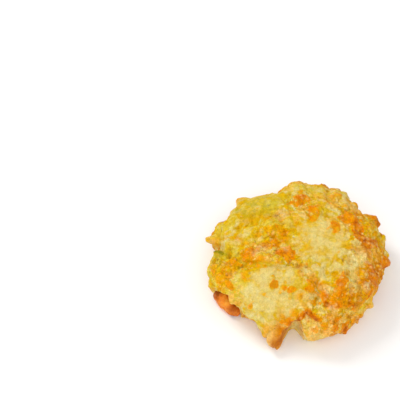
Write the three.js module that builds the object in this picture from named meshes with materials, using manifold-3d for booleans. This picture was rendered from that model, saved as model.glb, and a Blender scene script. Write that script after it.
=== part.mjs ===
// A cheddar drop biscuit, baked on a flat sheet: one low craggy mound of dough, the end of a green
// pepper slice that shows in a cleft of its left side, and a blob of browned cheddar at its foot.
//
// Millimetres, +Z up, front of the biscuit towards -Y. The origin lies on the resting plane, under
// the middle of the whole.
//
// The crust is thought of as peeled off and laid out flat on a round map: the crown is the map's
// centre, the foot is its edge, and a distance on the map is about the same distance on the crust.
// Every lobe, fold and crag is placed by its turn round the crown and its reach from it on that map.

import * as THREE from "three";
import { mergeVertices } from "three/addons/utils/BufferGeometryUtils.js";
import Module from "manifold-3d";

// ---- driving dimensions -------------------------------------------------------------------------

const CROWN_HEIGHT = 25.5;
const WIDEST_HEIGHT = 5.5; // above the resting plane
const FOOT_TUCK = 3.5; // how far the side curls in below its widest height
const SHOULDER_POWER = 2.4; // 2 is a plain ellipse, more is a squarer shoulder
const PLAN_RADIUS = 38; // nominal
const GAP = 0.3; // between the dough and what is baked into it

// Radius of the widest outline, every 15 degrees from +X, counted anticlockwise.
const OUTLINE_RADII = [
  36.8, 36.4, 34.6, 34.2, 37, 36.6, 37, 31.8, 31.2, 34.6, 35.8, 36.4,
  37, 38.6, 40, 38, 37, 37.2, 37, 37, 38.8, 36, 33.2, 34,
];

// Domes of dough, and hollows with a rise below 0: turn and reach of the centre, radius, rise.
// Angles are in degrees.
const LOBES = [
  { turn: 128, reach: 22, radius: 19, rise: 2.4 },
  { turn: 35, reach: 20, radius: 20, rise: 2.2 },
  { turn: 205, reach: 39, radius: 13, rise: 2.4 },
  { turn: 240, reach: 33, radius: 19, rise: 1.8 },
  { turn: 330, reach: 30, radius: 17, rise: 2.4 },
  { turn: 277, reach: 45, radius: 12, rise: 2.4 },
  { turn: 160, reach: 40, radius: 11, rise: 1.8 },
  { turn: 190, reach: 37, radius: 5.5, rise: -3 },
];

// Folds, where one flap of dough lies over the next: points of the groove by turn and reach. The
// flap that lies on top is on the left hand of someone walking along the points.
const FOLDS = [
  {
    path: [[187, 47], [194, 38], [203, 31], [211, 26], [224, 21.5], [242, 18], [252, 12]],
    width: 2.3,
    depth: 2,
    lip: 1.3,
    lean: 1,
  },
  {
    path: [[258, 52], [257, 45.5], [259, 41], [264, 38.5], [274, 39.5], [283, 42], [290, 46]],
    width: 2.6,
    depth: 2.8,
    lip: 1.3,
    lean: 0.9,
  },
];

// Crags that stand out of the side, and dents with out below 0: turn, reach, how far they stand
// out, half width round the biscuit and up the side, lift, the share of the way that they rise, and
// power: 1 is a dome, more is pointed, less is blunt.
const CRAGS = [
  { turn: 171, reach: 43, out: 4, round: 4.6, up: 4.5, lift: 0.1, power: 1.2 },
  { turn: 135, reach: 38, out: 3.5, round: 4.5, up: 5, lift: 0.1, power: 1.2 },
  { turn: 24, reach: 40, out: 4.8, round: 4.6, up: 5, lift: 0.1, power: 1 },
  { turn: 8, reach: 41, out: 2.4, round: 6, up: 5, lift: 0, power: 1.2 },
  { turn: 350, reach: 42, out: 2.8, round: 4, up: 4, lift: -0.1, power: 1.2 },
  { turn: 318, reach: 45, out: 1.8, round: 3.8, up: 4, lift: 0, power: 1.2 },
  { turn: 245, reach: 49, out: 3, round: 10, up: 8, lift: -0.05, power: 1.2 },
  { turn: 254, reach: 49, out: 4.6, round: 4.6, up: 6, lift: -0.1, power: 0.7 },
  { turn: 180, reach: 44, out: -3.4, round: 4.6, up: 6, lift: 0, power: 1.2 },
  { turn: 264, reach: 48, out: -6.2, round: 5, up: 9, lift: 0, power: 1 },
  { turn: 232, reach: 50, out: -1.2, round: 6, up: 6, lift: 0, power: 1.2 },
  { turn: 215, reach: 49, out: -5, round: 10, up: 8.5, lift: 0.3, power: 1.2 },
];

// Folds and crags follow a wandering line: how far it wanders, over what length, and its seeds.
const WANDER = { reach: 2.2, size: 7, seeds: [101, 102], cragShare: 0.4 };

// The section of a fold, in widths from its groove: where the lip is highest and how broad it is,
// and the same for its lean over the groove.
const LIP = { at: 1.6, breadth: 1.7 };
const LEAN = { at: 1.3, breadth: 0.9 };
const FOLD_TAPER = { start: 0.4, run: 4 }; // how full a fold is where it starts, and how fast it fades

// The green pepper slice: an arc of a ring cut across the pod. Its place is the middle of the skin
// on top of the arc, from the crown's foot; the cut face looks along its axis.
const SLICE = {
  place: [-33.4, -8.2, 20.2],
  axis: [-0.5, -0.68, 0.54],
  skinRadius: 10.5,
  wall: 3.2,
  thickness: 3.2,
  arc: 50,
  boxiness: 4, // of the cross-section: 2 is an ellipse, more is squarer
  bluntness: 8, // of the ends
};

// The browned cheddar that ran out at the foot: the points of its spine on the resting plane, from
// the crown's foot, the half widths and half heights at its start, middle and end.
const CHEDDAR = {
  spine: [[-36, -14.4], [-32.6, -20], [-24.8, -25.2]],
  halfWidths: [2.8, 2.4, 2.9],
  halfHeights: [3, 2.7, 3.1],
  boxiness: 2.3,
  bluntness: 2.6,
};

// Curds of dough, coarse to fine: spacing, rise, and the seed of their places.
const CURDS = [
  { size: 14, rise: 3, seed: 3 },
  { size: 7.5, rise: 2.6, seed: 17 },
  { size: 4.2, rise: 1.5, seed: 29 },
];
const CURD = { warp: 0.35, middle: 0.45, places: [0.15, 0.85], radii: [0.6, 1], heights: [0.35, 1] };
const CURD_DOME = 0.8; // lower is flatter on top
const CURD_POWER = 6; // higher gives sharper creases between curds
const SMOOTH_CURDS = 0.3; // share of the curds' rise that is left where the dough is smooth
const SMOOTH_EDGE = 1.4; // more keeps a smooth stretch smooth further out

// Smooth stretches of dough: turn, reach, radius.
const SMOOTH_AREAS = [
  { turn: 330, reach: 8, radius: 14 },
  { turn: 240, reach: 32, radius: 17 },
  { turn: 135, reach: 30, radius: 13 },
];

const FOOT_BAND = 4; // next to the foot, where the relief fades so that the foot stays flat
const LEAST_HEIGHT = 0.25; // of the crust above the resting plane, inside that band
const CRUST_STEPS = 60; // facets along a side of the crust's grid
const MERIDIAN_STEPS = 60; // samples above and again below the widest height
const BAR_RINGS = 20;
const BAR_SECTORS = 18;

// ---- repeatable irregularity --------------------------------------------------------------------

const TURN = 2 * Math.PI;
const radians = (degrees) => (degrees * Math.PI) / 180;
const mix = (a, b, share) => a + (b - a) * share;
const clamp01 = (value) => Math.min(1, Math.max(0, value));
const smoothstep = (value) => clamp01(value) ** 2 * (3 - 2 * clamp01(value));

// A number from 0 to 1 that belongs to a lattice point and a seed.
function hash(x, y, z, seed) {
  let h = Math.imul(x, 0x8da6b343) ^ Math.imul(y, 0xd8163841);
  h ^= Math.imul(z, 0xcb1ab31f) ^ Math.imul(seed, 0x9e3779b1);
  h = Math.imul(h ^ (h >>> 15), 0x85ebca6b);
  h = Math.imul(h ^ (h >>> 13), 0xc2b2ae35);
  return ((h ^ (h >>> 16)) >>> 0) / 2 ** 32;
}

// A place counted in cells of a lattice that starts at a corner of its own for each seed.
const LATTICE_START = [0.62, 0.41, 0.73];
const inCells = (p, size, seed) => [p.x, p.y, p.z].map((value, n) => value / size + LATTICE_START[n] * seed);

// Smooth noise from -1 to 1: the hashes of the eight lattice points round p, blended.
function noise(p, size, seed) {
  const at = inCells(p, size, seed);
  const cell = at.map(Math.floor);
  const [u, v, w] = at.map((value, i) => {
    const f = value - cell[i];
    return f * f * f * (f * (f * 6 - 15) + 10);
  });
  const corner = (i, j, k) => hash(cell[0] + i, cell[1] + j, cell[2] + k, seed);
  const row = (j, k) => mix(corner(0, j, k), corner(1, j, k), u);
  const sheet = (k) => mix(row(0, k), row(1, k), v);
  return 2 * mix(sheet(0), sheet(1), w) - 1;
}

// Rounded curds from 0 to 1: a dome of its own size and height in each lattice cell, joined by a
// high power mean, so that the taller one shows and a crease runs between neighbours.
function curds(p, size, seed) {
  const at = inCells(p, size, seed);
  const cell = at.map(Math.floor);
  let sum = 0;
  for (let i = -1; i <= 1; i += 1) {
    for (let j = -1; j <= 1; j += 1) {
      for (let k = -1; k <= 1; k += 1) {
        const c = [cell[0] + i, cell[1] + j, cell[2] + k];
        const away = c.map((value, n) => at[n] - value - mix(...CURD.places, hash(...c, seed + n)));
        const radius = mix(...CURD.radii, hash(...c, seed + 3));
        const height = mix(...CURD.heights, hash(...c, seed + 4));
        const fall = 1 - (away[0] ** 2 + away[1] ** 2 + away[2] ** 2) / radius ** 2;
        if (fall > 0) sum += (height * fall ** CURD_DOME) ** CURD_POWER;
      }
    }
  }
  return sum ** (1 / CURD_POWER);
}

// ---- the mound ----------------------------------------------------------------------------------

// The meridian from crown to foot: a quarter of a superellipse, then a curl in to the resting
// plane. Each sample has its share of the outline's radius, its height and its way from the crown.
const MERIDIAN = (() => {
  const samples = [];
  for (let i = 0; i <= MERIDIAN_STEPS; i += 1) {
    const a = (i / MERIDIAN_STEPS) * (Math.PI / 2);
    samples.push({
      out: Math.sin(a) ** (2 / SHOULDER_POWER),
      height: mix(WIDEST_HEIGHT, CROWN_HEIGHT, Math.max(0, Math.cos(a)) ** (2 / SHOULDER_POWER)),
    });
  }
  for (let i = 1; i <= MERIDIAN_STEPS; i += 1) {
    const a = (i / MERIDIAN_STEPS) * (Math.PI / 2);
    samples.push({
      out: 1 - (FOOT_TUCK / PLAN_RADIUS) * (1 - Math.cos(a)),
      height: WIDEST_HEIGHT * (1 - Math.sin(a)),
    });
  }
  samples[0].way = 0;
  for (let i = 1; i < samples.length; i += 1) {
    const [a, b] = [samples[i - 1], samples[i]];
    b.way = a.way + Math.hypot((b.out - a.out) * PLAN_RADIUS, b.height - a.height);
  }
  return samples;
})();
const MAP_RADIUS = MERIDIAN.at(-1).way;

function meridianAt(way) {
  const next = MERIDIAN.findIndex((s) => s.way >= way);
  if (next < 1) return next === 0 ? MERIDIAN[0] : MERIDIAN.at(-1);
  const [a, b] = [MERIDIAN[next - 1], MERIDIAN[next]];
  const share = (way - a.way) / (b.way - a.way);
  return { out: mix(a.out, b.out, share), height: mix(a.height, b.height, share) };
}

// The widest outline, as a smooth curve through its radii (Catmull-Rom, closed).
function outlineRadius(angle) {
  const n = OUTLINE_RADII.length;
  const at = ((angle / TURN) * n + n) % n;
  const i = Math.floor(at);
  const t = at - i;
  const [a, b, c, d] = [-1, 0, 1, 2].map((step) => OUTLINE_RADII[(i + step + n) % n]);
  return b + 0.5 * t * (c - a + t * (2 * a - 5 * b + 4 * c - d + t * (3 * (b - c) + d - a)));
}

// A point of the plain mound, from its place on the map.
function moundPoint(x, y) {
  const way = Math.hypot(x, y);
  const angle = Math.atan2(y, x);
  const { out, height } = meridianAt(Math.min(way, MAP_RADIUS));
  const radius = out * outlineRadius(angle);
  return new THREE.Vector3(radius * Math.cos(angle), radius * Math.sin(angle), height);
}

// The mound's normal and its two tangents, by differences on the map.
function moundFrame(x, y) {
  const step = 0.4; // small beside every feature
  const inside = Math.min(1, (MAP_RADIUS - 1.5 * step) / Math.max(Math.hypot(x, y), 1e-6));
  const [cx, cy] = [x * inside, y * inside];
  const across = moundPoint(cx + step, cy).sub(moundPoint(cx - step, cy)).normalize();
  const along = moundPoint(cx, cy + step).sub(moundPoint(cx, cy - step)).normalize();
  const normal = new THREE.Vector3().crossVectors(across, along).normalize();
  return { across, along, normal };
}

// ---- what stands on the mound -------------------------------------------------------------------

const onMap = (turn, reach) => [reach * Math.cos(radians(turn)), reach * Math.sin(radians(turn))];

// A bump on the map, from 1 at its centre to 0 at its radii round and up the side.
function bump(x, y, { turn, reach, round, up }, power = 1) {
  const angle = radians(turn);
  const outward = x * Math.cos(angle) + y * Math.sin(angle) - reach;
  const sideways = y * Math.cos(angle) - x * Math.sin(angle);
  const fall = 1 - (outward / up) ** 2 - (sideways / round) ** 2;
  return fall > 0 ? fall ** power : 0;
}

// Signed distance on the map to a path, positive on its left, with the share of the way along it
// and the direction across it.
function pathDistance(x, y, points) {
  let nearest = { distance: Infinity };
  for (let i = 0; i + 1 < points.length; i += 1) {
    const [ax, ay] = points[i];
    const [dx, dy] = [points[i + 1][0] - ax, points[i + 1][1] - ay];
    const length = Math.hypot(dx, dy);
    const share = clamp01(((x - ax) * dx + (y - ay) * dy) / length ** 2);
    const [ox, oy] = [x - ax - share * dx, y - ay - share * dy];
    const distance = Math.hypot(ox, oy);
    if (distance < Math.abs(nearest.distance)) {
      const left = dx * oy - dy * ox >= 0 ? 1 : -1;
      nearest = {
        distance: distance * left,
        along: (i + share) / (points.length - 1),
        across: [-dy / length, dx / length],
      };
    }
  }
  return nearest;
}

// How craggy the crust is at a place: 1, less in the smooth areas.
function cragginess(x, y) {
  let smooth = 0;
  for (const { turn, reach, radius } of SMOOTH_AREAS) {
    const area = bump(x, y, { turn, reach, round: radius, up: radius });
    smooth = Math.max(smooth, smoothstep(SMOOTH_EDGE * area));
  }
  return mix(1, SMOOTH_CURDS, smooth);
}

// The crust: mound, lobes, folds, curds and crags, each moving the point that the last one left.
function crustPoint(x, y) {
  const way = Math.hypot(x, y);
  const still = smoothstep((MAP_RADIUS - way) / FOOT_BAND);
  const { across, along, normal } = moundFrame(x, y);
  const point = moundPoint(x, y);
  const place = point.clone();
  const wander = WANDER.seeds.map((seed) => WANDER.reach * noise(place, WANDER.size, seed));

  for (const lobe of LOBES) {
    const dome = bump(x, y, { ...lobe, round: lobe.radius, up: lobe.radius });
    point.addScaledVector(normal, lobe.rise * dome * still);
  }
  for (const { path, width, depth, lip, lean } of FOLDS) {
    const points = path.map(([turn, reach]) => onMap(turn, reach));
    const near = pathDistance(x + wander[0], y + wander[1], points);
    const s = near.distance / width;
    const begun = smoothstep(FOLD_TAPER.start + FOLD_TAPER.run * near.along);
    const taper = begun * smoothstep(FOLD_TAPER.run * (1 - near.along)) * still;
    const rise = lip * Math.exp(-((s - LIP.at) ** 2) / LIP.breadth) - depth * Math.exp(-(s ** 2));
    const overhang = -lean * Math.exp(-((s - LEAN.at) ** 2) / LEAN.breadth);
    point.addScaledVector(normal, rise * taper);
    point.addScaledVector(across, overhang * near.across[0] * taper);
    point.addScaledVector(along, overhang * near.across[1] * taper);
  }
  const rough = cragginess(x, y);
  for (const { size, rise, seed } of CURDS) {
    const warp = new THREE.Vector3(...[51, 52, 53].map((step) => noise(place, size, seed + step)));
    const from = place.clone().addScaledVector(warp, CURD.warp * size);
    point.addScaledVector(normal, rise * rough * (curds(from, size, seed) - CURD.middle) * still);
  }
  for (const crag of CRAGS) {
    const angle = radians(crag.turn);
    const [wx, wy] = wander.map((value) => WANDER.cragShare * value);
    const out = crag.out * bump(x + wx, y + wy, crag, crag.power);
    point.x += out * Math.cos(angle);
    point.y += out * Math.sin(angle);
    point.z += out * crag.lift * still;
  }
  if (way < MAP_RADIUS) point.z = Math.max(point.z, LEAST_HEIGHT * still);
  return point;
}

// ---- solids -------------------------------------------------------------------------------------

// A square grid drawn onto the round map, so that its cells stay about the same size.
function squareToMap(a, b) {
  if (a === 0 && b === 0) return [0, 0];
  const wide = Math.abs(a) > Math.abs(b);
  const reach = wide ? a : b;
  const angle = wide ? (Math.PI / 4) * (b / a) : Math.PI / 2 - (Math.PI / 4) * (a / b);
  return [reach * Math.cos(angle) * MAP_RADIUS, reach * Math.sin(angle) * MAP_RADIUS];
}

function doughGeometry(steps) {
  const positions = [];
  const index = [];
  for (let j = 0; j <= steps; j += 1) {
    for (let i = 0; i <= steps; i += 1) {
      const p = crustPoint(...squareToMap((2 * i) / steps - 1, (2 * j) / steps - 1));
      positions.push(p.x, p.y, p.z);
    }
  }
  const at = (i, j) => j * (steps + 1) + i;
  const apart = (a, b) => Math.hypot(...[0, 1, 2].map((n) => positions[3 * a + n] - positions[3 * b + n]));
  for (let j = 0; j < steps; j += 1) {
    for (let i = 0; i < steps; i += 1) {
      const [a, b, c, d] = [at(i, j), at(i + 1, j), at(i + 1, j + 1), at(i, j + 1)];
      // Each cell is cut along its shorter diagonal.
      if (apart(a, c) > apart(b, d)) index.push(a, b, d, b, c, d);
      else index.push(a, b, c, a, c, d);
    }
  }
  const rim = [];
  for (let k = 0; k < steps; k += 1) rim.push(at(k, 0));
  for (let k = 0; k < steps; k += 1) rim.push(at(steps, k));
  for (let k = steps; k > 0; k -= 1) rim.push(at(k, steps));
  for (let k = steps; k > 0; k -= 1) rim.push(at(0, k));
  const middle = positions.length / 3;
  positions.push(0, 0, 0);
  rim.forEach((v, k) => index.push(middle, rim[(k + 1) % rim.length], v));
  const geometry = new THREE.BufferGeometry();
  geometry.setAttribute("position", new THREE.Float32BufferAttribute(positions, 3));
  geometry.setIndex(index);
  return geometry;
}

// A closed bar along a curve: cross-sections across the curve, rounded boxes of the given half
// sizes, that close to a point at each end. The side is the direction of the first half size. The
// bar can be grown all round, and cut off flat at a floor.
function barGeometry(curve, side, halves, { boxiness, bluntness }, grow, floor) {
  const ease = (share) => (1 - Math.cos(Math.PI * share)) / 2;
  const positions = [];
  const index = [];
  for (let i = 0; i <= BAR_RINGS; i += 1) {
    const share = ease(i / BAR_RINGS);
    const full = Math.max(0, 1 - Math.abs(2 * share - 1) ** bluntness) ** (1 / bluntness);
    const centre = curve(share);
    const forward = curve(share + 0.01).sub(curve(share - 0.01)).normalize();
    const a = side(share);
    const b = new THREE.Vector3().crossVectors(forward, a);
    if (i === 0) centre.addScaledVector(forward, -grow);
    if (i === BAR_RINGS) centre.addScaledVector(forward, grow);
    const sectors = full > 0 ? BAR_SECTORS : 1;
    for (let k = 0; k < sectors; k += 1) {
      const angle = (k / BAR_SECTORS) * TURN;
      const round = (value) => Math.sign(value) * Math.abs(value) ** (2 / boxiness);
      const [ha, hb] = halves(share).map((half) => full * half + (full > 0 ? grow : 0));
      const p = centre
        .clone()
        .addScaledVector(a, ha * round(Math.cos(angle)))
        .addScaledVector(b, hb * round(Math.sin(angle)));
      positions.push(p.x, p.y, Math.max(p.z, floor));
    }
  }
  const at = (i, k) => 1 + (i - 1) * BAR_SECTORS + (k % BAR_SECTORS);
  const last = positions.length / 3 - 1;
  for (let k = 0; k < BAR_SECTORS; k += 1) {
    index.push(0, at(1, k + 1), at(1, k));
    for (let i = 1; i + 1 < BAR_RINGS; i += 1) {
      index.push(at(i, k), at(i, k + 1), at(i + 1, k), at(i, k + 1), at(i + 1, k + 1), at(i + 1, k));
    }
    index.push(at(BAR_RINGS - 1, k), at(BAR_RINGS - 1, k + 1), last);
  }
  const geometry = new THREE.BufferGeometry();
  geometry.setAttribute("position", new THREE.Float32BufferAttribute(positions, 3));
  geometry.setIndex(index);
  return geometry;
}

function sliceGeometry(grow) {
  const axis = new THREE.Vector3(...SLICE.axis).normalize();
  const up = new THREE.Vector3(0, 0, 1).addScaledVector(axis, -axis.z).normalize();
  const sideways = new THREE.Vector3().crossVectors(up, axis);
  const radius = SLICE.skinRadius - SLICE.wall / 2;
  const hub = new THREE.Vector3(...SLICE.place).addScaledVector(up, -SLICE.skinRadius);
  hub.addScaledVector(axis, -SLICE.thickness / 2);
  const outward = (share) => {
    const angle = radians(SLICE.arc) * (share - 0.5);
    return up.clone().multiplyScalar(Math.cos(angle)).addScaledVector(sideways, Math.sin(angle));
  };
  const curve = (share) => hub.clone().addScaledVector(outward(share), radius);
  const halves = () => [SLICE.wall / 2, SLICE.thickness / 2];
  return barGeometry(curve, outward, halves, SLICE, grow, 0);
}

function cheddarGeometry(grow, floor) {
  const [a, b, c] = CHEDDAR.spine;
  const blend = (values, share) => {
    const [first, middle, last] = values;
    return first + share * (4 * middle - 3 * first - last) + 2 * share ** 2 * (first - 2 * middle + last);
  };
  const halves = (share) => [blend(CHEDDAR.halfWidths, share), blend(CHEDDAR.halfHeights, share)];
  const curve = (share) => {
    const [x, y] = [0, 1].map((n) => blend([a[n], b[n], c[n]], share));
    return new THREE.Vector3(x, y, 0.85 * halves(share)[1]);
  };
  const side = (share) => {
    const forward = curve(share + 0.01).sub(curve(share - 0.01));
    return new THREE.Vector3(forward.y, -forward.x, 0).normalize();
  };
  return barGeometry(curve, side, halves, CHEDDAR, grow, floor);
}

// ---- joining and cutting ------------------------------------------------------------------------

const wasm = await Module();
wasm.setup();

function toSolid(geometry) {
  const merged = mergeVertices(geometry, 1e-4);
  const vertProperties = new Float32Array(merged.attributes.position.array);
  const triVerts = new Uint32Array(merged.index.array);
  return new wasm.Manifold(new wasm.Mesh({ numProp: 3, vertProperties, triVerts }));
}

function toGeometry(solid) {
  const { vertProperties, triVerts } = solid.getMesh();
  const geometry = new THREE.BufferGeometry();
  geometry.setAttribute("position", new THREE.Float32BufferAttribute(vertProperties, 3));
  geometry.setIndex([...triVerts]);
  return geometry;
}

// ---- the biscuit --------------------------------------------------------------------------------

const biscuit = new THREE.Group();
biscuit.name = "cheddar_biscuit";

function addPart(name, geometry, color, roughness) {
  const mesh = new THREE.Mesh(geometry, new THREE.MeshStandardMaterial({ color, roughness, metalness: 0 }));
  mesh.name = name;
  biscuit.add(mesh);
}

const BELOW = -2; // deeper than the resting plane, so that a pocket opens through the underside
const pockets = [sliceGeometry(GAP), cheddarGeometry(GAP, BELOW)].map(toSolid);
const dough = toSolid(doughGeometry(CRUST_STEPS)).subtract(pockets[0]).subtract(pockets[1]);
addPart("dough", toGeometry(dough), 0xe8c46a, 0.8);
addPart("pepper_slice", sliceGeometry(0), 0x8f9a2a, 0.5);
addPart("cheddar_foot", cheddarGeometry(0, 0), 0xc06a1c, 0.55);

// The middle of the whole is brought over the origin.
const middle = new THREE.Box3().setFromObject(biscuit).getCenter(new THREE.Vector3());
biscuit.children.forEach((mesh) => mesh.geometry.translate(-middle.x, -middle.y, 0));

export default biscuit;
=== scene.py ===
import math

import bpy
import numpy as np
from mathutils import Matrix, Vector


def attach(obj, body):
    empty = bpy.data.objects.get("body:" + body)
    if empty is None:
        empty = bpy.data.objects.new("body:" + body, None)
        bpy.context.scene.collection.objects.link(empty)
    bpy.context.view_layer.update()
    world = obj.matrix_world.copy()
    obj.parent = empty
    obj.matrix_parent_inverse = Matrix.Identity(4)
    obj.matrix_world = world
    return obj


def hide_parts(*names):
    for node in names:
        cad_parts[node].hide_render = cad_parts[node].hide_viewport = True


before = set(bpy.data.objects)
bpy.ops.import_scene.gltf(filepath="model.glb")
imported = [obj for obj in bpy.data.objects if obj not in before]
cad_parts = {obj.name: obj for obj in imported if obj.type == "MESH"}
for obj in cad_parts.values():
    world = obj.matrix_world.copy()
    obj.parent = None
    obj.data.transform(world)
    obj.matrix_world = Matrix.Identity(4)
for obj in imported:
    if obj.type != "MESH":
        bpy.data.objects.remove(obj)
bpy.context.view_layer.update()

# The looks of a cheddar drop biscuit. The crust is worked out as the CAD solid is, by turn and reach
# on a round map of the unrolled crust, on a much finer grid, and then gets its finer relief: curds,
# crumb, melted cheddar, pits. Millimetres inside the functions, metres in the meshes.

MM = 0.001

# ---- the mound, as in the CAD solid ----

PLAN_SHIFT = (1.4233, 1.9659)  # from the crown's foot to the middle of the whole
CROWN_HEIGHT = 25.5
WIDEST_HEIGHT = 5.5
FOOT_TUCK = 3.5
SHOULDER_POWER = 2.4
PLAN_RADIUS = 38.0
OUTLINE_RADII = np.array([
    36.8, 36.4, 34.6, 34.2, 37, 36.6, 37, 31.8, 31.2, 34.6, 35.8, 36.4,
    37, 38.6, 40, 38, 37, 37.2, 37, 37, 38.8, 36, 33.2, 34,
])
# turn, reach, radius, rise
LOBES = [
    (128, 22, 19, 2.4), (35, 20, 20, 2.2), (205, 39, 13, 2.4), (240, 33, 19, 1.8), (330, 30, 17, 2.4),
    (277, 45, 12, 2.4), (160, 40, 11, 1.8), (190, 37, 5.5, -3),
]
# path of the groove, width, depth, lip, lean
FOLDS = [
    ([(187, 47), (194, 38), (203, 31), (211, 26), (224, 21.5), (242, 18), (252, 12)], 1.7, 1.3, 1.2, 0.8),
    ([(252, 45), (258, 45.5), (261.5, 44.5), (265, 42), (269, 39.2), (273, 39.4), (278, 40.6), (283, 42)],
     1.7, 0.6, 1.3, 0.7),
]
FOLD_TAPER = (0.4, 4.0)
LIP = (1.6, 1.7)
LEAN = (1.3, 0.9)
# turn, reach, out, half widths round and up, and where they aren't the usual ones, lift and power
CRAGS = [
    # corners, clockwise from the upper left
    (174, 41.4, 4.4, 4.4, 3.6, -0.1, 1.8), (137.5, 37.4, 3.3, 3.3, 4.6, 0, 1.3), (148, 37.5, 0.9, 4.5, 5),
    (24, 39.5, 4.4, 4, 5, 0.1, 0.7), (9, 41, 2.2, 6, 5), (358, 42, 1.4, 3, 5),
    (350, 42, 2.8, 4, 4, -0.1, 1.2), (317, 44, 1.1, 2.4, 2.8, 0, 0.9),
    # the drip, the notch beside it and the recess over the browned cheddar
    (246.5, 49, 2.4, 9, 8, -0.05, 1.2), (236.5, 50.5, -0.9, 3.8, 6), (252.5, 49.7, 5.1, 4.2, 6, -0.1, 0.7),
    (256.6, 51.4, 2.9, 2.8, 3, 0, 0.9), (253.6, 52, 0.6, 2.6, 2.4, 0, 0.7), (262.3, 48.5, -5.2, 5.8, 9),
    (232, 50, -1.2, 6, 6), (215, 49, -4.7, 10, 8.5, -0.25, 1.2), (220, 44, 2, 3.4, 4.5, -0.3, 1.2),
    (203, 49.5, -1.4, 3, 4), (208, 46, -1.6, 5, 5, -0.4, 1.2),
    # the cleft on the left
    (180, 44, -3.4, 4.6, 6), (174, 46.5, -3, 5, 5), (170, 50.5, -1.8, 4, 4),
    # shallow dents in the outline
    (6, 42.5, -1.3, 3.2, 6), (17, 42, -1, 3, 5), (31, 38, -0.8, 5, 6), (46, 37.5, -1.9, 5.5, 7),
    (77, 38, -1, 4.5, 5), (111, 34.5, -1.5, 6, 7), (155, 38.5, -1.4, 5, 5), (315, 50, -2.4, 6, 5),
    (326, 48, -2.4, 4.5, 5), (285, 50, -0.6, 10, 5),
]
USUAL_CRAG = (0, 1.2)
WANDER = {"reach": 2.2, "size": 7.0, "seeds": (101, 102), "crag_share": 0.4}
# spacing, rise, seed
CURDS = [(14, 3, 3), (7.5, 2.6, 17), (4.2, 1.5, 29)]
CURD_WARP = 0.35
CURD_WARP_SEED = 51
CURD_MIDDLE = 0.45
CURD_DOME = 0.8
CURD_POWER = 6
SMOOTH_CURDS = 0.3
SMOOTH_AREAS = [(330, 8, 14), (240, 32, 17), (138, 29, 15), (118, 33, 9), (254, 49, 7)]
AREA_EDGE = 1.4  # how steeply most round areas set in, and the wider ones
WIDE_EDGE = 1.5
FOOT_BAND = 4.0
LEAST_HEIGHT = 0.25  # of the main form, and of the crust with its crumb
LEAST_CRUST = 0.05

# ---- repeatable irregularity ----

LATTICE_START = np.array([0.62, 0.41, 0.73])


def mix(a, b, share):
    """The value that lies the given share of the way from a to b."""
    return a + (b - a) * share


def ease(value):
    """0 below 0, 1 above 1, and between them three times the square less twice the cube."""
    t = np.clip(value, 0.0, 1.0)
    return t * t * (3 - 2 * t)


def hash01(cell, seed):
    """A number from 0 to 1 for each lattice point and seed, by multiplying and mixing their bits."""
    x, y, z = (cell[..., n].astype(np.int64).astype(np.uint32) for n in range(3))
    h = x * np.uint32(0x8DA6B343) ^ y * np.uint32(0xD8163841)
    h = h ^ z * np.uint32(0xCB1AB31F) ^ np.uint32(seed * 0x9E3779B1 & 0xFFFFFFFF)
    h = (h ^ (h >> np.uint32(15))) * np.uint32(0x85EBCA6B)
    h = (h ^ (h >> np.uint32(13))) * np.uint32(0xC2B2AE35)
    return (h ^ (h >> np.uint32(16))) / 2.0**32


def noise(p, size, seed):
    """Smooth noise from -1 to 1: the hashes of the eight lattice points round p, blended."""
    at = p / size + LATTICE_START * seed
    cell = np.floor(at)
    f = at - cell
    u, v, w = np.moveaxis(f * f * f * (f * (f * 6 - 15) + 10), -1, 0)

    def corner(i, j, k):
        return hash01(cell + np.array([i, j, k]), seed)

    def sheet(k):
        front = mix(corner(0, 0, k), corner(1, 0, k), u)
        back = mix(corner(0, 1, k), corner(1, 1, k), u)
        return mix(front, back, v)

    return 2 * mix(sheet(0), sheet(1), w) - 1


def layered(p, size, seed, layers=3):
    """Noise of several sizes, each half the size and half the strength of the one before."""
    total = sum(noise(p, size / 2**n, seed + n) / 2**n for n in range(layers))
    return total / (2 - 2.0 ** (1 - layers))


def drift(p, size, seed):
    """Three noises with seeds in a row, one for each axis."""
    return np.stack([noise(p, size, seed + n) for n in range(3)], -1)


def neighbours(p, size, seed, margin):
    """The 27 lattice cells round each point: each cell's number, and the square of the distance in
    cells to a spot in it that its hashes pick, at least the margin away from its sides."""
    at = p / size + LATTICE_START * seed
    cell = np.floor(at)
    for step in np.ndindex(3, 3, 3):
        c = cell + np.array(step) - 1
        spot = np.stack([mix(margin, 1 - margin, hash01(c, seed + n)) for n in range(3)], -1)
        yield c, ((at - c - spot) ** 2).sum(-1)


def curds(p, size, seed):
    """Rounded curds from 0 to 1: a dome of its own size and height in each lattice cell, joined by a
    high power mean, so that the taller one shows and a crease runs between neighbours."""
    total = np.zeros(p.shape[:-1])
    for c, away in neighbours(p, size, seed, 0.15):
        radius = mix(0.6, 1.0, hash01(c, seed + 3))
        height = mix(0.35, 1.0, hash01(c, seed + 4))
        fall = np.maximum(1 - away / radius**2, 0.0)
        total += (height * fall**CURD_DOME) ** CURD_POWER
    return total ** (1 / CURD_POWER)


def specks(p, size, seed, share, small, large):
    """Scattered round specks, 1 at the middle and 0 at the edge: a lattice cell has one with the
    given chance, of a radius between small and large in cells."""
    best = np.zeros(p.shape[:-1])
    for c, away in neighbours(p, size, seed, 0.1):
        radius = mix(small, large, hash01(c, seed + 3))
        here = hash01(c, seed + 4) < share
        best = np.maximum(best, np.where(here, 1 - np.sqrt(away) / radius, 0.0))
    return best


# ---- the map of the crust ----

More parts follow.
